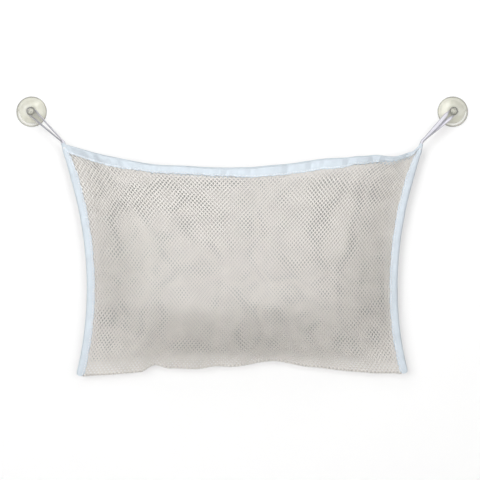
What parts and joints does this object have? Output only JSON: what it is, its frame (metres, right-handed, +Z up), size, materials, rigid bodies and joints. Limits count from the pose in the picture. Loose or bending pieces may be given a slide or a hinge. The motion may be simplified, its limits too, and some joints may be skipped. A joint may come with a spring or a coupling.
{
  "type": "hanging net bag for bath toys",
  "caption": "White net bag with taped edges and an open top that hangs on a bathroom wall from clear suction cups on ribbon loops, to store and drain bath toys.",
  "frame": {"origin": "on the wall plane, midway between the two suction cups", "axes": "+X to the right as seen from the front, +Y into the wall, +Z up"},
  "size_m": [0.56, 0.085, 0.3503],
  "materials": {
    "net": "white knitted polyester net with open diamonds",
    "tape": "cool white woven polyester tape, folded in half",
    "ribbon": "white woven ribbon with a slight sheen",
    "thread": "white polyester sewing thread",
    "vinyl": "clear soft PVC, faintly cream, glossy"
  },
  "bodies": {
    "bag": {"back_net": "net", "back_hem_tape": "tape", "back_hem_thread": "thread", "left_side_binding": "tape", "right_side_binding": "tape", "left_binding_thread": "thread", "right_binding_thread": "thread", "left_corner_bartack": "thread", "right_corner_bartack": "thread"},
    "front_panel": {"front_net": "net", "front_hem_tape": "tape", "front_hem_thread": "thread"},
    "left_loop": {"left_hanging_loop": "ribbon"},
    "right_loop": {"right_hanging_loop": "ribbon"},
    "left_cup": {"left_suction_cup": "vinyl"},
    "right_cup": {"right_suction_cup": "vinyl"}
  },
  "joints": [
    {"name": "mouth_open", "type": "hinge", "parent": "bag", "child": "front_panel", "pos_m": [0, -0.01285, -0.321], "axis": [1, 0, 0], "range_deg": [0, 10], "stiffness_Nm_per_rad": 0.4, "springref_deg": -6.88},
    {"name": "left_loop_swing", "type": "hinge", "parent": "bag", "child": "left_loop", "pos_m": [-0.22207, -0.01135, -0.03728], "axis": [0, 1, 0], "range_deg": [-45, 45]},
    {"name": "right_loop_swing", "type": "hinge", "parent": "bag", "child": "right_loop", "pos_m": [0.22207, -0.01135, -0.03728], "axis": [0, -1, 0], "range_deg": [-45, 45]},
    {"name": "left_cup_swivel", "type": "hinge", "parent": "left_loop", "child": "left_cup", "pos_m": [-0.261, -0.01135, 0], "axis": [0, 1, 0], "continuous": true},
    {"name": "right_cup_swivel", "type": "hinge", "parent": "right_loop", "child": "right_cup", "pos_m": [0.261, -0.01135, 0], "axis": [0, 1, 0], "continuous": true}
  ]
}
